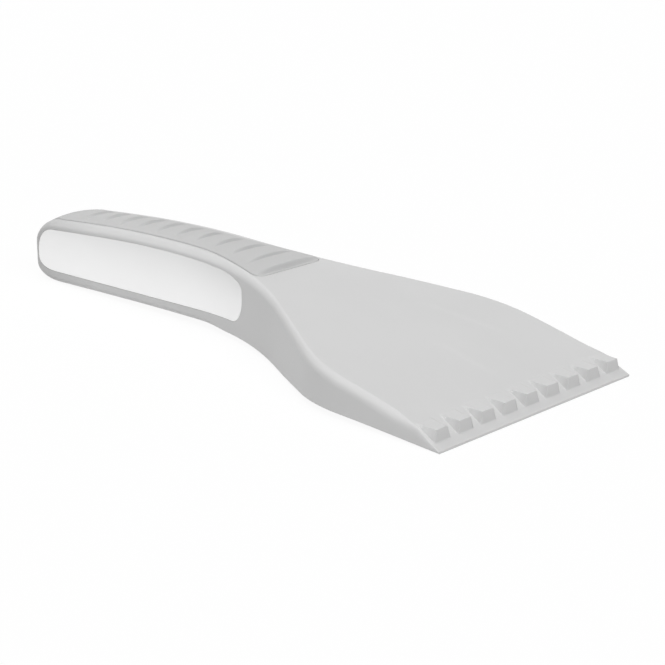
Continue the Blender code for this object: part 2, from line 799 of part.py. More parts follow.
def build():
    for obj in list(bpy.data.objects):
        bpy.data.objects.remove(obj, do_unlink=True)
    parts = bpy.data.collections.new("ice_scraper")
    cutters = bpy.data.collections.new("cutters")
    for collection in (parts, cutters):
        bpy.context.scene.collection.children.link(collection)
    body = scraper_body(parts, cutters)
    pad = grip_pad(parts, cutters)
    left = side_panel(parts, cutters)
    right = mirrored(left, "side_panel_right", parts)
    grey = material("moulded grey", (0.62, 0.62, 0.62), 0.42)
    rubber = material("grip rubber", (0.55, 0.55, 0.55), 0.7)
    white = material("gloss white", (0.86, 0.86, 0.86), 0.12, coat=0.5)
    for obj, made in ((body, grey), (pad, rubber), (left, white), (right, white)):
        apply_modifiers(obj)
        obj.data.materials.append(made)
        shade(obj)


build()
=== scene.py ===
"""Looks for the packed ice scraper: finer meshes of its four pieces, their materials, light and camera.

Stations are measured back from the scraping lip, heights from the surface it rests on, both in millimetres.
"""

import math

import bmesh
import bpy
import numpy as np
from mathutils import Matrix, Vector


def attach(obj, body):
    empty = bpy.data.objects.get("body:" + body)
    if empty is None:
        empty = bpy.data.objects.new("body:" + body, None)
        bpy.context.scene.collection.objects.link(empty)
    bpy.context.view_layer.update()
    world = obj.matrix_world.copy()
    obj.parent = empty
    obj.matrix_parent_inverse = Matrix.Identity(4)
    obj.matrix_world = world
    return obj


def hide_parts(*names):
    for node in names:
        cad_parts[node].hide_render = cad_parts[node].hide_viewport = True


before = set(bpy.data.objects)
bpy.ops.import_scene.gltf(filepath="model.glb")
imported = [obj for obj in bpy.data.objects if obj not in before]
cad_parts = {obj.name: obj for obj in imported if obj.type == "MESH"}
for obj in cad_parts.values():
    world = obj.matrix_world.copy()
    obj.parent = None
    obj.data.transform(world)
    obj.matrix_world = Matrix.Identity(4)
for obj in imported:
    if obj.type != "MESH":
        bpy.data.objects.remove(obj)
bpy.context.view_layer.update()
MM = 0.001

# Outline from above
LENGTH = 244.4
LIP_HALF = 50.0
CORNER = (54.4, 49.6)
CORNER_RADIUS = 50.0
NECK_STATION = 117.7
NECK_RADIUS = 120.0
HANDLE_HALF = 14.8
TAIL_LENGTH = 13.9
TAIL_CENTRE = LENGTH - TAIL_LENGTH
TAIL_PLAN_RADIUS = 3.0

# Outline from the side, as (station, height): the back, what trims it to the photograph, and the underside
SPINE = [(0, 3.5), (55.4, 17.1), (NECK_STATION, 27.3), (166, 29.3), (TAIL_CENTRE, 25.3)]
TRIM = [(0, 0), (24, 0.2), (50, -0.45), (72, -0.7), (106, -0.5), (145, -0.25)]
TRIM += [(172, -0.17), (196, 0.05), (LENGTH, 0)]
UNDERSIDE = [(0, 0), (20, 1.0), (44, 1.95), (58, 1.9), (88, 0.85)]
UNDERSIDE += [(NECK_STATION, 1.8), (152, 2.15), (TAIL_CENTRE, 0.25)]
TAIL_MIDDLE = 10.4
TAIL_TOP_SQUARENESS = 2.3
TAIL_LOW_SQUARENESS = 2.75

# Lip, bevel and the ramp behind it, which bends into the blade's top
LIP_THICKNESS = 0.7
BEVEL_LENGTH = 4.6
BEVEL_HEIGHT = 3.1
RAMP_END = 9.0
RAMP_AIM = 12.0
RAMP_ROUND = 9.0

# Teeth: the front face goes from foot to top, the upper face from top to back
TOOTH_COUNT = 9
TOOTH_PITCH = 11.15
TOOTH_HALF = 3.75
TOOTH_DRAFT = 1.05
TOOTH_FULL_DRAFT_RISE = 3.0
TOOTH_FOOT = 3.0
TOOTH_FOOT_ROUND = 0.5
TOOTH_TOP = 3.4
TOOTH_HEIGHT = 6.3
TOOTH_BACK = (12.4, 6.6)
TOOTH_RUN_OUT = (60, -60)
TOOTH_FADE = (9.5, 13.5)
TOOTH_BLEND = 0.15
TOOTH_EDGE = 0.22
TOOTH_BASE = 0.3
TOOTH_CORNER = 0.45
TOOTH_ROUND_LIMIT = 0.48
TOOTH_OUTER_POINTS = (1.4, 0.85)
TOOTH_INNER_POINT = 1.3

# Rounds along the body: its upper shoulders, and its lower edges
BLADE_SHOULDER = 3.6
HANDLE_SHOULDER = 2.8
LIP_SHOULDER_HEIGHT_SHARE = 0.5
LIP_SHOULDER_WIDTH_SHARE = 0.2
SHOULDER_SPAN = (9, 22)
SHOULDER_WIDTH_SHARE = 0.85
SHOULDER_WIDENING = 0.5
SHOULDER_WIDENING_SPAN = (85, 130)
SKIRT_EDGE = 0.4
HANDLE_EDGE_GAIN = 2.2
HANDLE_EDGE_SPAN = (129, 146)
ROUND_LIMIT = 0.45

# The blade's open underside and its three fanned ribs
HOLLOW_START = 15.0
HOLLOW_END = 117.5
HOLLOW_FLOOR = -4
HOLLOW_ROUND = 1.2
HOLLOW_BEND = 1.6
ROOF = 2.4
SKIRT = 2.2
RIB_THICKNESS = 1.6
RIB_ROOT_SHARE = 1.15
RIB_DEPTH = 7.0
RIB_LIFT = 2.0
RIB_FAN_STATION = 108.0
RIB_FAN_OFFSET = 7.0
RIB_LIP_OFFSET = 34.0
RIB_OVERLAP = 1

# Grip pad: a ledge along its foot, a front face, and steps that overlap towards the blade
PAD_START = 112.6
PAD_END_ANGLE = 62
PAD_INSET = 4.5
PAD_NECK_INSET = 2.8
PAD_FLARE_SPAN = (122, 152)
PAD_CORNER = 4.6
PAD_DEPTH = 1.8
PAD_PROUD = 0.3
PAD_CROWN = 0.9
PAD_EDGE = 0.5
PAD_EDGE_START = 0.96
PAD_LEDGE = 0.9
PAD_LEDGE_LIFT = 0.1
PAD_FACE_RUN = 1.7
PAD_FRONT_STEP = 0.7
PAD_FIRST_STEP = 123.8
PAD_PITCH = 10.66
PAD_STEPS = 10
PAD_STEP = 1.0
PAD_RUN = 0.9
PAD_REACH = 0.8
PAD_STEP_FADE = 0.8

# Side panels
PANEL_THICKNESS = 2.0
PANEL_START = 119.5
PANEL_MARGIN = 3.25
PANEL_LOW_MARGINS = (5.6, 4.6)
PANEL_TAIL_MARGIN = 2.8
PANEL_TAIL_LIFT = 0.6
PANEL_LOW_CORNER = (7.4, 10)
PANEL_TOP_CORNER = (18, 5.5)
PANEL_EDGE = 0.25
PANEL_BACK_EDGE = 0.25
PANEL_BEND_LENGTH = 42
PANEL_LOW_EASE = 3

# Room under the pad and behind the panels, and the seams that show
GAP = 0.3
SEAM = 0.06
SEAM_FLARE = 0.4
TOOL_REACH = 6
RECESS_REACH = 20

# How finely the shapes are drawn: stations of the body's rings, spans of more of them as (start, end, step),
# angles over the tail, round the pad's front corners and round small edges, and shares of a step's face
CLOSEST_STATIONS = 0.012
LIP_STATIONS = [0, 0.12, 0.4, 0.9, 1.4, 1.7]
TOOTH_STATIONS = [2.2, 2.6, 3.03, 3.09, 3.18, 3.3, 4.1, 4.4, 4.6, 4.8, 5.2]
RING_SPANS = [(5.8, 7.4, 0.5), (7.7, 14.5, 0.3), (15.5, 30, 1.5), (32, 118, 2), (120, TAIL_CENTRE, 2.5)]
TAIL_ANGLES = [8, 16, 24, 32, 40, 47, 54, 60, 66, 71, 76, 80, 83, 85.5, 88]
CORNER_ANGLES = [0, 8, 18, 28, 40, 52, 65, 78, 90]
ROUND_ANGLES = [0, 22.5, 45, 67.5, 90]
STEP_SHARES = [0, 0.12, 0.3, 0.5, 0.7, 0.88, 1]
STEP_END = 0.05

# Edges that bend by more degrees than these are drawn sharp
SHARP = 40
PAD_SHARP = 50
PANEL_SHARP = 35

# Camera, fitted to the photograph's outline, with its nearest distance in metres
CAMERA_PLACE = (LENGTH / 2 + 333.19, -446.03, 205.17)
CAMERA_BACK = (0.65705, -0.6887, 0.30655)
CAMERA_ROLL = 0.0009
CAMERA_SHIFT = 0.0004
CAMERA_LENS = 98.846
CAMERA_SENSOR = 36
CAMERA_NEAREST = 0.01

# Lamps: name, azimuth, height and spread in degrees, strength
LAMPS = [
    ("lamp_overhead", 0, 88, 60, 1.24),
    ("lamp_near_tail", 45, 40, 40, 0.63),
    ("lamp_camera_high", 133.65, 50, 30, 0.96),
    ("lamp_camera_right", 165, 38, 30, 0.85),
    ("lamp_far_tail", 335, 42, 14, 0.13),
]
AMBIENT = 0.187

# Floor: half its side, how far it lies under the object, its finish, and the share that shows as plain white
FLOOR_HALF = 2000
FLOOR_DROP = 0.1
FLOOR_GREY = 0.81
FLOOR_ROUGHNESS = 0.9
FLOOR_SPECULAR = 0.1
FLOOR_WHITE_SHARE = 0.93

# Faint sink marks over two of the ribs, from (station, across) to (station, across), bumped in and painted
# lighter along them as a painted sheen
FAR_SINK = ((66, 20), (38, 27.5))
MIDDLE_SINK = ((42, 0), (21, 0))
SINK_WIDTH = 1.4
SINK_FADE = 4.0
SINK_HEIGHTS = (5, 7)
# How much lighter the sink marks are painted: a painted sheen
SINK_PAINTED_SHEEN = 0.22

# The moulding's finish: its greys, the shares that give them, and how much painted shade darkens it along the
# tail
MOULDING_GREYS = (0.34, 0.527)
MOULDING_SHARES = (-3, 1)
MOULDING_MOTTLE = (0.3, 0.6)
MOULDING_ROUGHNESS = (0.4, 0.48)
MOULDING_SPECULAR = 0.74
# Painted shade: how much darker the grey is painted over the tail's end, and the stations over which it
# deepens
TAIL_PAINTED_SHADE = 2.4
TAIL_PAINTED_SHADE_SPAN = (206, 244)

# The pad's finish
GRIP_GREYS = (0.42, 0.44)
GRIP_ROUGHNESS = (0.55, 0.68)
GRIP_SPECULAR = 0.66

# The panels' finish: painted shade from light at the lower edge to darker at the upper one, most of all in
# the front span, where painted light also lifts the tone a little
GLOSS_GREYS = (0.965, 0.665)
GLOSS_PAINTED_SHADE = 0.66
GLOSS_PAINTED_SHADE_HEIGHTS = (6, 25)
GLOSS_PAINTED_SHADE_POWER = 1.5
GLOSS_FRONT_PAINTED_SHADE = 0.31
# Painted light: a small lift of the panels' tone over the front span
GLOSS_FRONT_PAINTED_LIGHT = -0.08
GLOSS_FRONT_SPAN = (120, 160)
GLOSS_MOTTLE = (0.085, 0.145)
GLOSS_ROUGHNESS = 0.14
GLOSS_SPECULAR = 0.8
GLOSS_COAT = 0.4
GLOSS_COAT_ROUGHNESS = 0.04

# What a noise mostly lies between, and depths of small bumps in metres
NOISE_RANGE = (0.3, 0.7)
BUMP_DEPTH = 0.00004
GRIP_BUMP_DEPTH = 0.00005


def line_through(points):
    """A natural cubic spline through (station, height) points."""
    stations, heights = np.array(points, float).T
    count = len(stations)
    gaps = np.diff(stations)
    matrix = np.eye(count)
    right = np.zeros(count)
    for i in range(1, count - 1):
        matrix[i, i - 1 : i + 2] = gaps[i - 1], 2 * (gaps[i - 1] + gaps[i]), gaps[i]
        right[i] = 6 * ((heights[i + 1] - heights[i]) / gaps[i] - (heights[i] - heights[i - 1]) / gaps[i - 1])
    bends = np.linalg.solve(matrix, right)

    def height_at(station):
        i = int(np.clip(np.searchsorted(stations, station) - 1, 0, count - 2))
        ahead = stations[i + 1] - station
        behind = station - stations[i]
        gap = gaps[i]
        curve = (bends[i] * ahead**3 + bends[i + 1] * behind**3) / (6 * gap)
        left = (heights[i] / gap - bends[i] * gap / 6) * ahead
        return curve + left + (heights[i + 1] / gap - bends[i + 1] * gap / 6) * behind

    return height_at


def corner_arc(corner, before, after, radius, steps):
    """Points of the arc that rounds a corner between its neighbours."""
    corner, before, after = (np.array(point, float) for point in (corner, before, after))
    back = (before - corner) / np.linalg.norm(before - corner)
    ahead = (after - corner) / np.linalg.norm(after - corner)
    half_angle = math.acos(np.clip(back @ ahead, -1, 1)) / 2
    bisector = (back + ahead) / np.linalg.norm(back + ahead)
    centre = corner + bisector * radius / math.sin(half_angle)
    start = corner + back * radius / math.tan(half_angle) - centre
    end = corner + ahead * radius / math.tan(half_angle) - centre
    first = math.atan2(start[1], start[0])
    turn = (math.atan2(end[1], end[0]) - first + math.pi) % (2 * math.pi) - math.pi
    angles = first + turn * np.arange(steps + 1) / steps
    return [centre + radius * np.array([math.cos(angle), math.sin(angle)]) for angle in angles]


def smooth_share(value, start, end):
    """0 before the start, 1 past the end, with a soft rise between them."""
    share = min(max((value - start) / (end - start), 0), 1)
    return share * share * (3 - 2 * share)


def spread(start, end, step):
    """Evenly spaced stations from start to end, no further apart than the step."""
    count = max(1, math.ceil((end - start) / step - 1e-6))
    return list(np.linspace(start, end, count + 1))


def apart(stations):
    """The stations in order, without those that lie almost on the one before."""
    kept = []
    for station in sorted(stations):
        if not kept or station - kept[-1] > CLOSEST_STATIONS:
            kept.append(station)
    return kept


def world_x(station):
    return LENGTH / 2 - station


# Outline

spine = line_through(SPINE)
trim = line_through(TRIM)
low_line = line_through(UNDERSIDE)


def top_line(station):
    """Height of the moulding's back: its spine, trimmed to the outline in the photograph."""
    return spine(station) + trim(station)


def plan_points():
    """The outline's left half from above, from the lip to the tail."""
    lip = (0, LIP_HALF)
    neck = (NECK_STATION, HANDLE_HALF)
    tail = (LENGTH, HANDLE_HALF)
    points = [lip]
    points += corner_arc(CORNER, lip, neck, CORNER_RADIUS, 40)
    points += corner_arc(neck, CORNER, tail, NECK_RADIUS, 60)
    points.append(tail)
    return np.array(points)


PLAN = plan_points()


def half_width(station):
    width = float(np.interp(station, PLAN[:, 0], PLAN[:, 1]))
    into = (station - LENGTH + TAIL_PLAN_RADIUS) / TAIL_PLAN_RADIUS
    if into > 0:
        width -= TAIL_PLAN_RADIUS * (1 - math.sqrt(max(1 - into**2, 0)))
    return width


def rounded_share(past, squareness):
    """Height of a quarter of a superellipse: 1 at its middle, 0 at its end."""
    return max(1 - past**squareness, 0) ** (1 / squareness)


def tail_share(station, squareness):
    return rounded_share(max(station - TAIL_CENTRE, 0) / TAIL_LENGTH, squareness)


# Side line of the bevel and the ramp, rounded where the ramp runs out into the blade's top
RAMP_LINE = [(0, LIP_THICKNESS), (BEVEL_LENGTH, BEVEL_HEIGHT)]
RAMP_BEND = (RAMP_END, top_line(RAMP_END))
RAMP_LINE += corner_arc(RAMP_BEND, RAMP_LINE[1], (RAMP_AIM, top_line(RAMP_AIM)), RAMP_ROUND, 8)
RAMP_LINE = np.array(RAMP_LINE, float)
RAMP_TOP = float(RAMP_LINE[-1, 0])


def base_height(station):
    """Top of the moulding without its teeth."""
    if station < RAMP_TOP:
        return float(np.interp(station, RAMP_LINE[:, 0], RAMP_LINE[:, 1]))
    line = top_line(min(station, TAIL_CENTRE)) - TAIL_MIDDLE
    return TAIL_MIDDLE + line * tail_share(station, TAIL_TOP_SQUARENESS)


def low_height(station):
    """Underside of the moulding."""
    line = low_line(min(station, TAIL_CENTRE)) - TAIL_MIDDLE
    return TAIL_MIDDLE + line * tail_share(station, TAIL_LOW_SQUARENESS)


def shoulder_height(station):
    """Height of the round between side and back: small at the lip, full on the blade, less on the handle."""
    tall = base_height(station) - low_height(station)
    if station < SHOULDER_SPAN[1]:
        front = LIP_SHOULDER_HEIGHT_SHARE * tall
        return front + smooth_share(station, *SHOULDER_SPAN) * (BLADE_SHOULDER - front)
    change = HANDLE_SHOULDER - BLADE_SHOULDER
    radius = BLADE_SHOULDER + smooth_share(station, CORNER[0], NECK_STATION) * change
    return min(radius, ROUND_LIMIT * tall)


def shoulder_width(station):
    """Width of the same round: narrower than high on the blade, and wider than high on the handle."""
    if station < SHOULDER_SPAN[1]:
        front = LIP_SHOULDER_WIDTH_SHARE * (base_height(station) - low_height(station))
        return front + smooth_share(station, *SHOULDER_SPAN) * (SHOULDER_WIDTH_SHARE * BLADE_SHOULDER - front)
    share = SHOULDER_WIDTH_SHARE + SHOULDER_WIDENING * smooth_share(station, *SHOULDER_WIDENING_SPAN)
    return shoulder_height(station) * share


def bottom_radius(station):
    """Round of the lower edges: sharp on the blade's skirt, full on the handle."""
    radius = SKIRT_EDGE + smooth_share(station, *HANDLE_EDGE_SPAN) * HANDLE_EDGE_GAIN
    return min(radius, ROUND_LIMIT * (base_height(station) - low_height(station)))


# Meshes


def make_object(bm, name, sharp=SHARP):
    """Turns a bmesh in millimetres into a smooth-shaded object in metres."""
    bmesh.ops.recalc_face_normals(bm, faces=bm.faces)
    mesh = bpy.data.meshes.new(name)
    bm.to_mesh(mesh)
    bm.free()
    mesh.transform(Matrix.Scale(MM, 4))
    obj = bpy.data.objects.new(name, mesh)
    bpy.context.scene.collection.objects.link(obj)
    mesh.shade_smooth()
    mesh.set_sharp_from_angle(angle=math.radians(sharp))
    return obj


def join_rows(bm, rows):
    """Joins each closed row of vertices to the next one."""
    for row, next_row in zip(rows, rows[1:]):
        for i, here in enumerate(row):
            bm.faces.new((row[i - 1], here, next_row[i], next_row[i - 1]))


def loft(name, rings, sharp=SHARP):
    """A closed solid through rings of points."""
    bm = bmesh.new()
    rows = [[bm.verts.new(point) for point in ring] for ring in rings]
    bm.faces.new(rows[0])
    bm.faces.new(rows[-1])
    join_rows(bm, rows)
    return make_object(bm, name, sharp)


def arc(centre_y, centre_z, radius, start, end, steps, width=None):
    """Points of an arc, or of a part of an ellipse where a width is given."""
    angles = np.radians(np.linspace(start, end, steps + 1))
    wide = width or radius
    return [(centre_y + wide * math.cos(angle), centre_z + radius * math.sin(angle)) for angle in angles]


def cut(obj, tool):
    """Cuts the tool out of the object, writes the result into its mesh and removes the tool."""
    modifier = obj.modifiers.new(tool.name, "BOOLEAN")
    modifier.operation = "DIFFERENCE"
    modifier.object = tool
    modifier.solver = "EXACT"
    graph = bpy.context.evaluated_depsgraph_get()
    mesh = bpy.data.meshes.new_from_object(obj.evaluated_get(graph))
    obj.modifiers.clear()
    obj.data = mesh
    bpy.data.objects.remove(tool)


# Teeth

FOOT_HEIGHT = base_height(TOOTH_FOOT)
FOOT_POINT = (TOOTH_FOOT, FOOT_HEIGHT)
TOP_POINT = (TOOTH_TOP, TOOTH_HEIGHT)
TOOTH_LINE = [(0, LIP_THICKNESS)]
TOOTH_LINE += corner_arc(FOOT_POINT, (0, LIP_THICKNESS), TOP_POINT, TOOTH_FOOT_ROUND, 5)
TOOTH_LINE += corner_arc(TOP_POINT, FOOT_POINT, TOOTH_BACK, TOOTH_EDGE, 6)
TOOTH_LINE += [TOOTH_BACK, TOOTH_RUN_OUT]
TOOTH_LINE = np.array(TOOTH_LINE, float)
TOOTH_CENTRES = [((TOOTH_COUNT - 1) / 2 - i) * TOOTH_PITCH for i in range(TOOTH_COUNT)]


def tooth_rise(station):
    """How far a tooth's top stands above the bevel or ramp, run out softly where the two meet."""
    rise = float(np.interp(station, TOOTH_LINE[:, 0], TOOTH_LINE[:, 1])) - base_height(station)
    if station < TOOTH_TOP:
        return max(rise, 0)
    soft = (rise + math.sqrt(rise * rise + TOOTH_BLEND * TOOTH_BLEND)) / 2
    return soft * (1 - smooth_share(station, *TOOTH_FADE))


def tooth_half(station):
    """Half of a tooth's width at its foot, less at its rounded front corners."""
    into = (TOOTH_FOOT + TOOTH_CORNER - station) / TOOTH_CORNER
    if into <= 0:
        return TOOTH_HALF
    return TOOTH_HALF - TOOTH_CORNER * (1 - math.sqrt(max(1 - min(into, 1) ** 2, 0)))


def tooth_profile(station, scale):
    """Half of a tooth's section, from the gap's middle to the tooth's middle: (distance, rise)."""
    rise = tooth_rise(station)
    half = tooth_half(station)
    base = min(TOOTH_BASE, TOOTH_ROUND_LIMIT * rise)
    edge = min(TOOTH_EDGE, TOOTH_ROUND_LIMIT * rise)
    points = [(TOOTH_PITCH / 2, 0)] + [(half + out, 0) for out in TOOTH_OUTER_POINTS]
    spare = TOOTH_BASE - base
    for angle in np.radians(ROUND_ANGLES):
        out = half + base - base * math.sin(angle) + spare * math.cos(angle)
        points.append((out, base * (1 - math.cos(angle))))
    inner = half - TOOTH_DRAFT * math.sqrt(min(rise / TOOTH_FULL_DRAFT_RISE, 1))
    spare = TOOTH_EDGE - edge
    for angle in np.radians(ROUND_ANGLES):
        out = edge * (1 - math.cos(angle)) + spare * math.sin(angle)
        points.append((inner - out, rise - edge + edge * math.sin(angle)))
    points += [(inner - TOOTH_INNER_POINT, rise), (0, rise)]
    return [(distance * scale, height) for distance, height in points]


def crest(station):
    """The moulding's top from its left shoulder to its right one: (y, height)."""
    half = half_width(station) - shoulder_width(station)
    front = half_width(RAMP_END) - shoulder_width(RAMP_END)
    scale = 1 if station < RAMP_END else min(half / front, 1)
    base = base_height(station)
    profile = tooth_profile(station, scale)
    points = []
    for i, centre in enumerate(TOOTH_CENTRES):
        left = profile[3:] if i == 0 else profile
        right = profile[-2:2:-1] if i == TOOTH_COUNT - 1 else profile[-2:0:-1]
        points += [(centre * scale + distance, base + rise) for distance, rise in left]
        points += [(centre * scale - distance, base + rise) for distance, rise in right]
    return points


# Moulding


def body_ring(station):
    """The body's section: half of its underside, a side, a shoulder, the crest, and the same mirrored."""
    half, low = half_width(station), low_height(station)
    high, radius, foot = base_height(station), shoulder_height(station), bottom_radius(station)
    wide = shoulder_width(station)
    left = [(0, low), ((half - foot) / 2, low)]
    left += arc(half - foot, low + foot, foot, -90, 0, 6)
    left += [(half, low + foot + (high - radius - low - foot) * share) for share in (0.25, 0.5, 0.75)]
    left += arc(half - wide, high - radius, radius, 0, 90, 12, wide)
    right = [(-y, z) for y, z in reversed(left[1:])]
    return [(world_x(station), y, z) for y, z in left + crest(station) + right]


def body_stations():
    stations = LIP_STATIONS + [float(point[0]) for point in TOOTH_LINE[1:-2]] + TOOTH_STATIONS
    for span in RING_SPANS:
        stations += spread(*span)
    stations += [TAIL_CENTRE + TAIL_LENGTH * math.sin(angle) for angle in np.radians(TAIL_ANGLES)]
    return apart(stations)


def roof_height(station):
    """Inside of the blade's roof, which drops under the pad's recess."""
    seat = PAD_DEPTH * smooth_share(station, PAD_START - 4 * ROOF, PAD_START - ROOF)
    return base_height(station) - ROOF - seat


def rib_tool(side):
    """One rib, from the lip to the neck: side is -1, 0 or 1."""
    rings = []
    for station in spread(HOLLOW_START - RIB_OVERLAP, HOLLOW_END + RIB_OVERLAP, 5):
        fan = np.interp(station, [HOLLOW_START, RIB_FAN_STATION], [RIB_LIP_OFFSET, RIB_FAN_OFFSET])
        low = max(roof_height(station) - RIB_DEPTH, low_height(station) + RIB_LIFT)
        high = roof_height(station) + RIB_OVERLAP
        half = RIB_THICKNESS / 2
        root = half * RIB_ROOT_SHARE
        corners = ((-half, low), (half, low), (root, high), (-root, high))
        rings.append([(world_x(station), side * fan + y, z) for y, z in corners])
    return loft(f"rib{side}", rings)


def hollow_tool():
    """The space under the blade, with the fanned ribs left out of it."""
    rings = []
    for station in spread(HOLLOW_START, HOLLOW_END, 2.5):
        half = half_width(station) - SKIRT
        roof = roof_height(station)
        left = [(0, HOLLOW_FLOOR), (half, HOLLOW_FLOOR), (half, roof - HOLLOW_BEND)]
        left += arc(half - HOLLOW_ROUND, roof - HOLLOW_ROUND, HOLLOW_ROUND, 0, 90, 5)
        right = [(-y, z) for y, z in reversed(left[1:])]
        rings.append([(world_x(station), y, z) for y, z in left + [(0, roof)] + right])
    hollow = loft("hollow", rings)
    for side in (-1, 0, 1):
        cut(hollow, rib_tool(side))
    return hollow


# Grip pad


def back_frame(station):
    """A point on the handle's back, and the direction that stands square to it."""
    reach = 0.05
    rise = base_height(station + reach) - base_height(station - reach)
    length = math.hypot(rise, 2 * reach)
    return np.array([station, base_height(station)]), np.array([-rise / length, 2 * reach / length])


def path_point(station, y, lift):
    point, normal = back_frame(station)
    along, height = point + normal * lift
    return (world_x(along), y, height)


def pad_half(station):
    """Half of the pad's width, with its front corners rounded in plan."""
    inset = PAD_NECK_INSET + smooth_share(station, *PAD_FLARE_SPAN) * (PAD_INSET - PAD_NECK_INSET)
    into = min(max((PAD_START + PAD_CORNER - station) / PAD_CORNER, 0), 1)
    return half_width(station) - inset - GAP - PAD_CORNER * (1 - math.sqrt(1 - into * into))


def tail_path(start, step):
    """Stations along the handle's back from a start over the tail to the pad's end."""
    stations = spread(start, TAIL_CENTRE, step)
    for angle in np.radians(np.linspace(0, PAD_END_ANGLE, 15))[1:]:
        stations.append(TAIL_CENTRE + TAIL_LENGTH * math.sin(angle))
    return stations


def corner_stations():
    """Stations close enough together to draw the pad's rounded front corners."""
    return [PAD_START + PAD_CORNER * (1 - math.cos(turn)) for turn in np.radians(CORNER_ANGLES)]


def pad_recess_tool():
    """What is cut out of the body for the pad, with a seam that flares at the top."""
    stations = sorted([PAD_START - SEAM, *corner_stations(), *tail_path(PAD_START + PAD_CORNER + 1, 2.5)])
    stations[-1] += SEAM
    side = [(0, -PAD_DEPTH), (0, -SEAM_FLARE)]
    for turn in np.radians([30, 60, 90]):
        side.append((SEAM_FLARE * (1 - math.cos(turn)), -SEAM_FLARE * (1 - math.sin(turn))))
    side.append((SEAM_FLARE, TOOL_REACH))
    rings = []
    for station in stations:
        half = pad_half(station) + SEAM
        left = [path_point(station, half + out, lift) for out, lift in side]
        right = [path_point(station, -half - out, lift) for out, lift in reversed(side)]
        rings.append(left + right)
    return loft("pad recess", rings)


FEET = [PAD_START + PAD_LEDGE] + [PAD_FIRST_STEP + i * PAD_PITCH for i in range(PAD_STEPS + 1)]


def face_run(foot):
    """Length of the steep face that rises from a foot: longer at the pad's front."""
    return PAD_FACE_RUN if foot == FEET[0] else PAD_RUN


def step_lift(station):
    """Height of the overlapping steps as a share: each drops softly but steeply towards the blade."""
    for foot, next_foot in zip(FEET, FEET[1:]):
        if foot - 1e-9 <= station < next_foot - 1e-9:
            run = face_run(foot)
            into = (station - foot) / run
            if into < 1:
                return smooth_share(into, 0, 1)
            return 1 - (station - foot - run) / (next_foot - foot - run)
    return 0


def pad_ring(station):
    """The pad's section: its flat base, then its crowned top with the step that crosses it."""
    half = pad_half(station)
    ring = [path_point(station, y, GAP - PAD_DEPTH) for y in np.linspace(-half, half, 5)]
    rise = smooth_share(station, FEET[0], FEET[0] + PAD_FACE_RUN)
    shares = [*np.linspace(1, PAD_EDGE_START, 4), *np.linspace(0.9, -0.9, 37)]
    shares += [*np.linspace(-PAD_EDGE_START, -1, 4)]
    for share in shares:
        crown = PAD_CROWN * (1 - share * share)
        if station < FEET[1]:
            step = PAD_FRONT_STEP * step_lift(station) * (1 - abs(share) ** 4)
        else:
            step = PAD_STEP * step_lift(station) * max(1 - (share / PAD_REACH) ** 2, 0) ** PAD_STEP_FADE
        into = max((abs(share) - PAD_EDGE_START) / (1 - PAD_EDGE_START), 0)
        edge = PAD_EDGE * (1 - math.sqrt(max(1 - into * into, 0)))
        lift = PAD_LEDGE_LIFT + rise * (PAD_PROUD + crown - PAD_LEDGE_LIFT) + step - edge
        ring.append(path_point(station, share * half, lift))
    return ring


def pad_piece():
    stations = spread(PAD_START, FEET[0], PAD_LEDGE / 2)
    for foot, next_foot in zip(FEET, FEET[1:]):
        run = face_run(foot)
        stations += [foot + run * share for share in STEP_SHARES]
        stations += spread(foot + run, next_foot, 1.2)[1:-1]
        stations.append(next_foot - STEP_END)
    stations += [station for station in tail_path(PAD_START, 1.0) if station > FEET[-1]]
    stations += corner_stations()[1:]
    return loft("ribbed_grip", [pad_ring(station) for station in apart(stations)], PAD_SHARP)


# Side panels


def panel_low(station):
    front, back = PANEL_LOW_MARGINS
    heights = [low_height(PANEL_START) + front, low_height(TAIL_CENTRE) + back]
    return float(np.interp(station, [PANEL_START, TAIL_CENTRE], heights))


def panel_high(station):
    return spine(station) - PANEL_MARGIN


def quarter(corner, run, rise, start, end, steps):
    """A quarter of an ellipse that rounds a corner: (station, height)."""
    points = []
    for angle in np.radians(np.linspace(start, end, steps + 1)):
        along = corner[0] + run + abs(run) * math.cos(angle)
        points.append((along, corner[1] + rise + abs(rise) * math.sin(angle)))
    return points


def panel_outline(inset):
    """The side panel's outline moved inwards by inset: (station, height)."""
    front = PANEL_START + inset
    low_run, low_rise = (size - inset for size in PANEL_LOW_CORNER)
    top_run, top_drop = (size - inset for size in PANEL_TOP_CORNER)
    low_corner = (front, panel_low(front + low_run) + inset)
    top_corner = (front, panel_high(front + top_run) - inset)
    low_stations = np.linspace(TAIL_CENTRE - PANEL_LOW_EASE, front + low_run + PANEL_LOW_EASE, 24)
    points = [(station, panel_low(station) + inset) for station in low_stations]
    points += quarter(low_corner, low_run, low_rise, 270, 180, 20)
    points += quarter(top_corner, top_run, -top_drop, 180, 90, 24)
    for station in spread(front + top_run, TAIL_CENTRE, 4)[1:]:
        points.append((station, panel_high(station) - inset))
    high = panel_high(TAIL_CENTRE) - inset
    low = panel_low(TAIL_CENTRE) + inset
    middle = TAIL_MIDDLE + PANEL_TAIL_LIFT
    length = TAIL_LENGTH - PANEL_TAIL_MARGIN - inset
    for angle in np.radians(np.linspace(90, -90, 49))[1:]:
        squareness = TAIL_TOP_SQUARENESS if angle > 0 else TAIL_LOW_SQUARENESS
        share = rounded_share(math.cos(angle), squareness)
        height = middle + share * (high - middle if angle > 0 else low - middle)
        points.append((TAIL_CENTRE + math.cos(angle) * length, height))
    return points


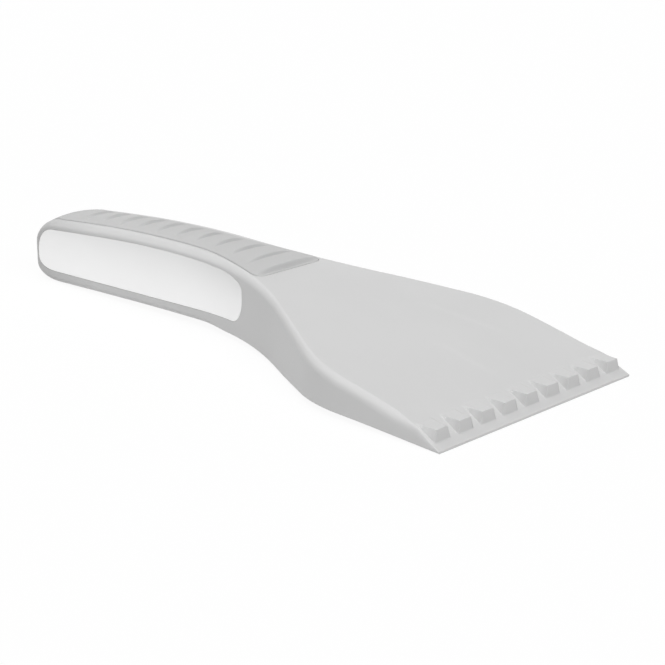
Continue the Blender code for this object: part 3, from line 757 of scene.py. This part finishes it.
def side_plate(name, levels, side, sharp):
    """A plate in the handle's side from (inset, out) levels, cut in columns where the side bends."""
    bm = bmesh.new()
    rows = []
    for inset, out in levels:
        ring = [(world_x(station), side * out, height) for station, height in panel_outline(inset)]
        rows.append([bm.verts.new(point) for point in ring])
    join_rows(bm, rows)
    bm.faces.new(rows[0])
    bm.faces.new(rows[-1])
    for station in spread(PANEL_START, PANEL_START + PANEL_BEND_LENGTH, 2)[1:]:
        geometry = bm.verts[:] + bm.edges[:] + bm.faces[:]
        bmesh.ops.bisect_plane(bm, geom=geometry, plane_co=(world_x(station), 0, 0), plane_no=(1, 0, 0))
    for vert in bm.verts:
        station = LENGTH / 2 - vert.co.x
        vert.co.y += side * half_width(min(station, TAIL_CENTRE))
    return make_object(bm, name, sharp)


def panel_piece(name, side):
    levels = [(PANEL_BACK_EDGE, -PANEL_THICKNESS), (0, PANEL_BACK_EDGE - PANEL_THICKNESS), (0, -PANEL_EDGE)]
    for turn in np.radians(ROUND_ANGLES[1:]):
        levels.append((PANEL_EDGE * (1 - math.cos(turn)), -PANEL_EDGE * (1 - math.sin(turn))))
    return side_plate(name, levels, side, PANEL_SHARP)


def recess_tool(side):
    levels = [(-SEAM, -PANEL_THICKNESS - GAP), (-SEAM, RECESS_REACH)]
    return side_plate(f"recess{side}", levels, side, SHARP)


def body_piece():
    body = loft("scraper_shell", [body_ring(station) for station in body_stations()])
    cut(body, hollow_tool())
    cut(body, pad_recess_tool())
    cut(body, recess_tool(1))
    cut(body, recess_tool(-1))
    body.data.shade_smooth()
    body.data.set_sharp_from_angle(angle=math.radians(SHARP))
    weighted = body.modifiers.new("weighted normals", "WEIGHTED_NORMAL")
    weighted.keep_sharp = True
    return body


# Materials


class Tree:
    """A small helper to build a material's nodes."""

    def __init__(self, name):
        self.material = bpy.data.materials.new(name)
        self.material.use_nodes = True
        self.nodes = self.material.node_tree.nodes
        self.links = self.material.node_tree.links
        self.shader = self.nodes["Principled BSDF"]
        self.place = self.nodes.new("ShaderNodeTexCoord").outputs["Object"]

    def feed(self, socket, value):
        """Links a socket to a node's output, or gives it a plain value."""
        if isinstance(value, bpy.types.NodeSocket):
            self.links.new(value, socket)
        else:
            socket.default_value = value

    def node(self, kind, **inputs):
        made = self.nodes.new("ShaderNode" + kind)
        for key, value in inputs.items():
            self.feed(made.inputs[key.replace("_", " ")], value)
        return made

    def noise(self, scale, detail=2.0, roughness=0.5, stretch=(1, 1, 1)):
        mapping = self.node("Mapping", Vector=self.place, Scale=stretch)
        made = self.node("TexNoise", Vector=mapping.outputs[0], Scale=scale, Detail=detail)
        made.inputs["Roughness"].default_value = roughness
        return made.outputs["Fac"]

    def span(self, value, low, high, start=0.0, end=1.0):
        """Maps a value from start and end to low and high."""
        limits = {"From_Min": start, "From_Max": end, "To_Min": low, "To_Max": high}
        return self.node("MapRange", Value=value, **limits).outputs[0]

    def math(self, operation, a, b=0.0):
        made = self.nodes.new("ShaderNodeMath")
        made.operation = operation
        self.feed(made.inputs[0], a)
        self.feed(made.inputs[1], b)
        return made.outputs[0]

    def grey(self, share, first, last):
        """A grey that goes from the first level to the last one with the share."""
        mix = self.nodes.new("ShaderNodeMix")
        mix.data_type = "RGBA"
        self.links.new(share, mix.inputs[0])
        mix.inputs[6].default_value = (first, first, first, 1)
        mix.inputs[7].default_value = (last, last, last, 1)
        return mix.outputs[2]

    def bump(self, height, distance, strength=1.0, normal=None):
        made = self.node("Bump", Height=height, Distance=distance, Strength=strength)
        if normal is not None:
            self.links.new(normal, made.inputs["Normal"])
        return made.outputs["Normal"]

    def set(self, **inputs):
        for key, value in inputs.items():
            self.feed(self.shader.inputs[key.replace("_", " ")], value)
        return self.material

    def in_millimetres(self):
        """Station, sideways place and height of a point on the object."""
        split = self.node("SeparateXYZ", Vector=self.place)
        along, across, height = (self.math("MULTIPLY", split.outputs[i], 1000) for i in range(3))
        return self.math("SUBTRACT", LENGTH / 2, along), across, height


def streak(tree, station, across, ends, width):
    """A soft streak between two (station, across) points, 1 along its middle and 0 away from it."""
    start, end = ends
    slope = (end[1] - start[1]) / (end[0] - start[0])
    drift = tree.math("MULTIPLY", tree.math("SUBTRACT", station, start[0]), slope)
    middle = tree.math("ADD", drift, start[1])
    away = tree.math("DIVIDE", tree.math("SUBTRACT", across, middle), width)
    steep = tree.math("POWER", tree.math("ABSOLUTE", away), 4.0)
    bell = tree.math("DIVIDE", 1.0, tree.math("ADD", 1.0, steep))
    rise = tree.span(station, 0, 1, end[0] - SINK_FADE, end[0] + SINK_FADE)
    fall = tree.span(station, 1, 0, start[0] - SINK_FADE, start[0] + SINK_FADE)
    return tree.math("MULTIPLY", bell, tree.math("MULTIPLY", rise, fall))


def moulded_plastic():
    """Satin grey with a fine grain, a faint mottle, sink marks that are bumped in and painted lighter as a
    painted sheen, and painted shade that darkens the tail.
    """
    tree = Tree("moulded_grey")
    grain = tree.noise(1400, detail=3.0, roughness=0.6)
    cloud = tree.noise(22, stretch=(1, 1.6, 1))
    rough = tree.span(grain, *MOULDING_ROUGHNESS, *NOISE_RANGE)
    station, across, height = tree.in_millimetres()
    top = tree.span(height, 0, 1, *SINK_HEIGHTS)
    sinks_and_sheen = streak(tree, station, across, FAR_SINK, SINK_WIDTH)
    sinks_and_sheen = tree.math("ADD", sinks_and_sheen, streak(tree, station, across, MIDDLE_SINK, SINK_WIDTH))
    sinks_and_sheen = tree.math("MULTIPLY", sinks_and_sheen, top)
    mottle = tree.span(cloud, *MOULDING_MOTTLE, *NOISE_RANGE)
    # Painted sheen: the grey is painted lighter along the sink marks
    share = tree.math("ADD", mottle, tree.math("MULTIPLY", sinks_and_sheen, SINK_PAINTED_SHEEN))
    # Painted shade: the grey is painted darker towards the tail's end
    share = tree.math("SUBTRACT", share, tree.span(station, 0, TAIL_PAINTED_SHADE, *TAIL_PAINTED_SHADE_SPAN))
    colour = tree.grey(tree.span(share, 0, 1, *MOULDING_SHARES), *MOULDING_GREYS)
    normal = tree.bump(sinks_and_sheen, -BUMP_DEPTH)
    normal = tree.bump(grain, BUMP_DEPTH, strength=0.5, normal=normal)
    return tree.set(Base_Color=colour, Roughness=rough, Normal=normal, Specular_IOR_Level=MOULDING_SPECULAR)


def grip_rubber():
    """Matt grey with a fine grain and a faint mottle."""
    tree = Tree("grip_rubber")
    grain = tree.noise(2200, detail=4.0, roughness=0.65)
    cloud = tree.noise(30)
    colour = tree.grey(tree.span(cloud, 0, 1, *NOISE_RANGE), *GRIP_GREYS)
    rough = tree.span(grain, *GRIP_ROUGHNESS, *NOISE_RANGE)
    normal = tree.bump(grain, GRIP_BUMP_DEPTH, strength=0.6)
    return tree.set(Base_Color=colour, Roughness=rough, Normal=normal, Specular_IOR_Level=GRIP_SPECULAR)


def gloss_white():
    """Glossy white with painted shade that darkens it towards the panel's upper edge, most of all near the
    blade, and a little painted light over the front span.
    """
    tree = Tree("gloss_white")
    wave = tree.noise(160)
    cloud = tree.noise(18, detail=1.0)
    station, _, height = tree.in_millimetres()
    # Painted shade: the white is painted darker towards the upper edge, more so in the front span
    up = tree.math("POWER", tree.span(height, 0, 1, *GLOSS_PAINTED_SHADE_HEIGHTS), GLOSS_PAINTED_SHADE_POWER)
    ahead = tree.span(station, 1, 0, *GLOSS_FRONT_SPAN)
    fall = tree.math("ADD", GLOSS_PAINTED_SHADE, tree.math("MULTIPLY", ahead, GLOSS_FRONT_PAINTED_SHADE))
    share = tree.math("MULTIPLY", up, fall)
    # Painted light: the front span is painted a little lighter
    share = tree.math("ADD", share, tree.math("MULTIPLY", ahead, GLOSS_FRONT_PAINTED_LIGHT))
    share = tree.math("ADD", share, tree.span(cloud, *GLOSS_MOTTLE, *NOISE_RANGE))
    colour = tree.grey(share, *GLOSS_GREYS)
    normal = tree.bump(wave, BUMP_DEPTH, strength=0.35)
    tree.set(Specular_IOR_Level=GLOSS_SPECULAR, Coat_Weight=GLOSS_COAT, Coat_Roughness=GLOSS_COAT_ROUGHNESS)
    return tree.set(Base_Color=colour, Roughness=GLOSS_ROUGHNESS, Normal=normal)


# Camera, light and floor


def make_camera():
    data = bpy.data.cameras.new("camera")
    data.sensor_width = CAMERA_SENSOR
    data.lens = CAMERA_LENS
    data.clip_start = CAMERA_NEAREST
    data.shift_y = CAMERA_SHIFT
    camera = bpy.data.objects.new("camera", data)
    bpy.context.scene.collection.objects.link(camera)
    camera.rotation_euler = Vector(CAMERA_BACK).to_track_quat("Z", "Y").to_euler()
    camera.rotation_euler.rotate_axis("Z", CAMERA_ROLL)
    camera.location = [place * MM for place in CAMERA_PLACE]
    bpy.context.scene.camera = camera


def sun_light(name, azimuth, height, spread_angle, strength):
    """A far lamp: azimuth 0 is behind the tail (-X), 90 the near side (-Y), 180 in front of the lip (+X)."""
    data = bpy.data.lights.new(name, "SUN")
    data.energy = strength
    data.angle = math.radians(spread_angle)
    lamp = bpy.data.objects.new(name, data)
    bpy.context.scene.collection.objects.link(lamp)
    turn, rise = math.radians(azimuth), math.radians(height)
    away = Vector((-math.cos(turn) * math.cos(rise), -math.sin(turn) * math.cos(rise), math.sin(rise)))
    lamp.location = away
    lamp.rotation_euler = away.to_track_quat("Z", "Y").to_euler()


def background_rays(nodes, links):
    """1 for the rays that show the plain background, 0 for those that light the object."""
    path = nodes.new("ShaderNodeLightPath")
    share = path.outputs["Is Camera Ray"]
    for name in ("Is Glossy Ray", "Is Transmission Ray"):
        either = nodes.new("ShaderNodeMath")
        either.operation = "MAXIMUM"
        links.new(share, either.inputs[0])
        links.new(path.outputs[name], either.inputs[1])
        share = either.outputs[0]
    return share


def make_world():
    """White where it is seen, and a low even light on the object."""
    world = bpy.data.worlds.new("studio")
    bpy.context.scene.world = world
    world.use_nodes = True
    nodes, links = world.node_tree.nodes, world.node_tree.links
    lit = nodes["Background"]
    lit.inputs["Strength"].default_value = AMBIENT
    lit.inputs["Color"].default_value = (1, 1, 1, 1)
    seen = nodes.new("ShaderNodeBackground")
    seen.inputs["Color"].default_value = (1, 1, 1, 1)
    mix = nodes.new("ShaderNodeMixShader")
    links.new(background_rays(nodes, links), mix.inputs[0])
    links.new(lit.outputs[0], mix.inputs[1])
    links.new(seen.outputs[0], mix.inputs[2])
    links.new(mix.outputs[0], nodes["World Output"].inputs["Surface"])


def make_floor():
    """A pale floor that is mostly plain white where it is seen, and keeps a trace of the shadow."""
    bm = bmesh.new()
    bmesh.ops.create_grid(bm, x_segments=8, y_segments=8, size=FLOOR_HALF)
    floor = make_object(bm, "floor")
    made = bpy.data.materials.new("floor_white")
    made.use_nodes = True
    nodes, links = made.node_tree.nodes, made.node_tree.links
    shader = nodes["Principled BSDF"]
    shader.inputs["Base Color"].default_value = (FLOOR_GREY, FLOOR_GREY, FLOOR_GREY, 1)
    shader.inputs["Roughness"].default_value = FLOOR_ROUGHNESS
    shader.inputs["Specular IOR Level"].default_value = FLOOR_SPECULAR
    glow = nodes.new("ShaderNodeEmission")
    share = nodes.new("ShaderNodeMath")
    share.operation = "MULTIPLY"
    share.inputs[1].default_value = FLOOR_WHITE_SHARE
    mix = nodes.new("ShaderNodeMixShader")
    links.new(background_rays(nodes, links), share.inputs[0])
    links.new(share.outputs[0], mix.inputs[0])
    links.new(shader.outputs[0], mix.inputs[1])
    links.new(glow.outputs[0], mix.inputs[2])
    links.new(mix.outputs[0], nodes["Material Output"].inputs["Surface"])
    floor.data.materials.append(made)
    floor.location.z = -FLOOR_DROP * MM


def place_piece(obj, made, node):
    """Gives a piece its material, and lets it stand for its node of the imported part."""
    obj.data.materials.clear()
    obj.data.materials.append(made)
    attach(obj, "root")
    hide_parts(node)


def build():
    bpy.context.scene.view_settings.view_transform = "Standard"
    make_camera()
    place_piece(body_piece(), moulded_plastic(), "scraper_body")
    place_piece(pad_piece(), grip_rubber(), "grip_pad")
    white = gloss_white()
    place_piece(panel_piece("gloss_panel_left", 1), white, "side_panel_left")
    place_piece(panel_piece("gloss_panel_right", -1), white, "side_panel_right")
    make_floor()
    make_world()
    for lamp in LAMPS:
        sun_light(*lamp)


build()
